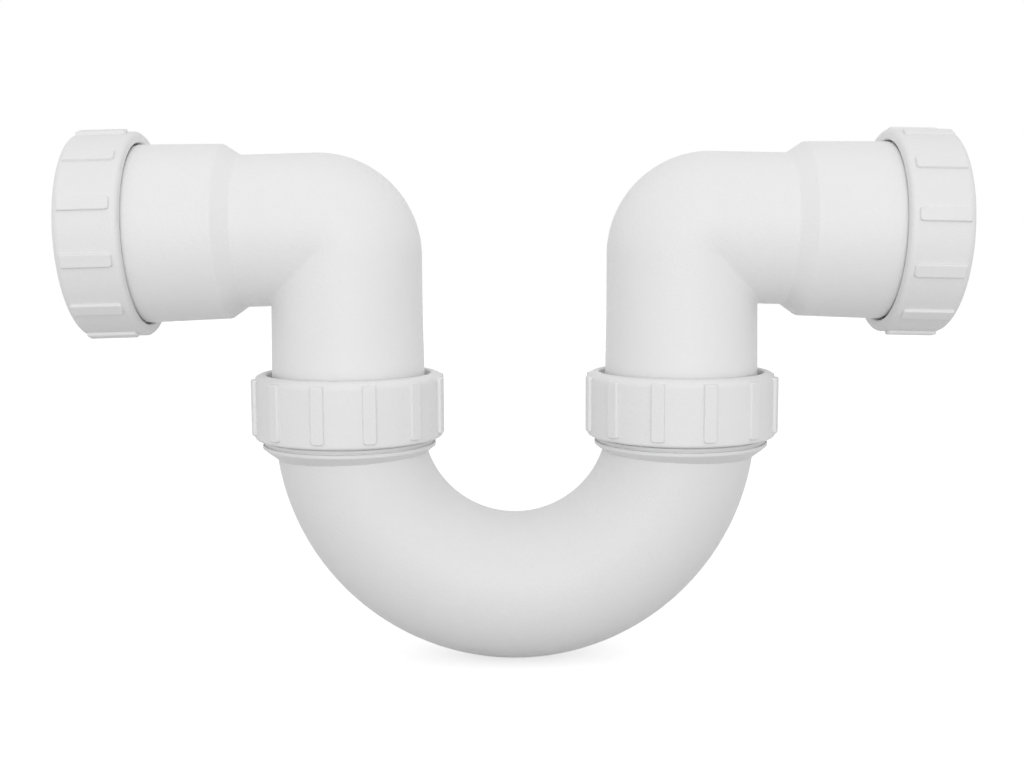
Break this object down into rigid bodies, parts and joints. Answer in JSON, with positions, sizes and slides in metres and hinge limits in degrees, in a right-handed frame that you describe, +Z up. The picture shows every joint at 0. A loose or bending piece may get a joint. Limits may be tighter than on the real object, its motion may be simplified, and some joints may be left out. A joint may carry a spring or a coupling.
{
  "type": "u trap",
  "caption": "White plastic U trap: a bent water-seal tube with a swivelling knuckle elbow and threaded nut on each neck, and a compression nut for a waste pipe on each arm.",
  "frame": {"origin": "on the ground plane under the middle of the U-bend, on the centre plane between the two arms", "axes": "+X along the arms from the inlet to the outlet, +Y across the trap, +Z up"},
  "size_m": [0.2768, 0.0666, 0.1729],
  "materials": {
    "bend_polypropylene": "satin moulded",
    "elbow_polypropylene": "satin moulded",
    "nut_polypropylene": "satin moulded",
    "ring_polyethylene": "waxy moulded",
    "seal_rubber": "moulded"
  },
  "bodies": {
    "inlet_side": {"inlet_elbow": "elbow_polypropylene", "inlet_pipe_seal": "seal_rubber"},
    "water_bend": {"u_bend": "bend_polypropylene", "inlet_swivel_seal": "seal_rubber", "outlet_swivel_seal": "seal_rubber"},
    "outlet_side": {"outlet_elbow": "elbow_polypropylene", "outlet_pipe_seal": "seal_rubber"},
    "inlet_swivel_ring_body": {"inlet_swivel_ring": "ring_polyethylene"},
    "inlet_swivel_nut_body": {"inlet_swivel_nut": "nut_polypropylene"},
    "inlet_pipe_ring_body": {"inlet_pipe_ring": "ring_polyethylene"},
    "inlet_pipe_nut_body": {"inlet_pipe_nut": "nut_polypropylene"},
    "outlet_swivel_ring_body": {"outlet_swivel_ring": "ring_polyethylene"},
    "outlet_swivel_nut_body": {"outlet_swivel_nut": "nut_polypropylene"},
    "outlet_pipe_ring_body": {"outlet_pipe_ring": "ring_polyethylene"},
    "outlet_pipe_nut_body": {"outlet_pipe_nut": "nut_polypropylene"}
  },
  "joints": [
    {"name": "inlet_swivel", "type": "hinge", "parent": "inlet_side", "child": "water_bend", "pos_m": [-0.054, 0, 0.078], "axis": [0, 0, 1], "range_deg": [-100, 100]},
    {"name": "outlet_swivel", "type": "hinge", "parent": "water_bend", "child": "outlet_side", "pos_m": [0.054, 0, 0.078], "axis": [0, 0, 1], "range_deg": [-100, 100]},
    {"name": "inlet_swivel_ring_slide", "type": "slide", "parent": "water_bend", "child": "inlet_swivel_ring_body", "axis": [0, 0, 1], "range_m": [0, 0.014]},
    {"name": "inlet_swivel_nut_turn", "type": "hinge", "parent": "inlet_swivel_ring_body", "child": "inlet_swivel_nut_body", "pos_m": [-0.054, 0, 0.0885], "axis": [0, 0, 1], "range_deg": [0, 1440]},
    {"name": "inlet_pipe_ring_slide", "type": "slide", "parent": "inlet_side", "child": "inlet_pipe_ring_body", "axis": [-0.9997, 0, -0.0244], "range_m": [0, 0.014]},
    {"name": "inlet_pipe_nut_turn", "type": "hinge", "parent": "inlet_pipe_ring_body", "child": "inlet_pipe_nut_body", "pos_m": [-0.13139, 0, 0.13932], "axis": [-0.9997, 0, -0.0244], "range_deg": [0, 1440]},
    {"name": "outlet_swivel_ring_slide", "type": "slide", "parent": "water_bend", "child": "outlet_swivel_ring_body", "axis": [0, 0, 1], "range_m": [0, 0.014]},
    {"name": "outlet_swivel_nut_turn", "type": "hinge", "parent": "outlet_swivel_ring_body", "child": "outlet_swivel_nut_body", "pos_m": [0.054, 0, 0.0885], "axis": [0, 0, 1], "range_deg": [0, 1440]},
    {"name": "outlet_pipe_ring_slide", "type": "slide", "parent": "outlet_side", "child": "outlet_pipe_ring_body", "axis": [0.9997, 0, -0.0244], "range_m": [0, 0.014]},
    {"name": "outlet_pipe_nut_turn", "type": "hinge", "parent": "outlet_pipe_ring_body", "child": "outlet_pipe_nut_body", "pos_m": [0.13139, 0, 0.13932], "axis": [0.9997, 0, -0.0244], "range_deg": [0, 1440]}
  ],
  "couplings": [
    {"joint": "inlet_swivel_ring_slide", "follows": "inlet_swivel_nut_turn", "m_per_rad": 0.00055704},
    {"joint": "inlet_pipe_ring_slide", "follows": "inlet_pipe_nut_turn", "m_per_rad": 0.00055704},
    {"joint": "outlet_swivel_ring_slide", "follows": "outlet_swivel_nut_turn", "m_per_rad": 0.00055704},
    {"joint": "outlet_pipe_ring_slide", "follows": "outlet_pipe_nut_turn", "m_per_rad": 0.00055704}
  ]
}
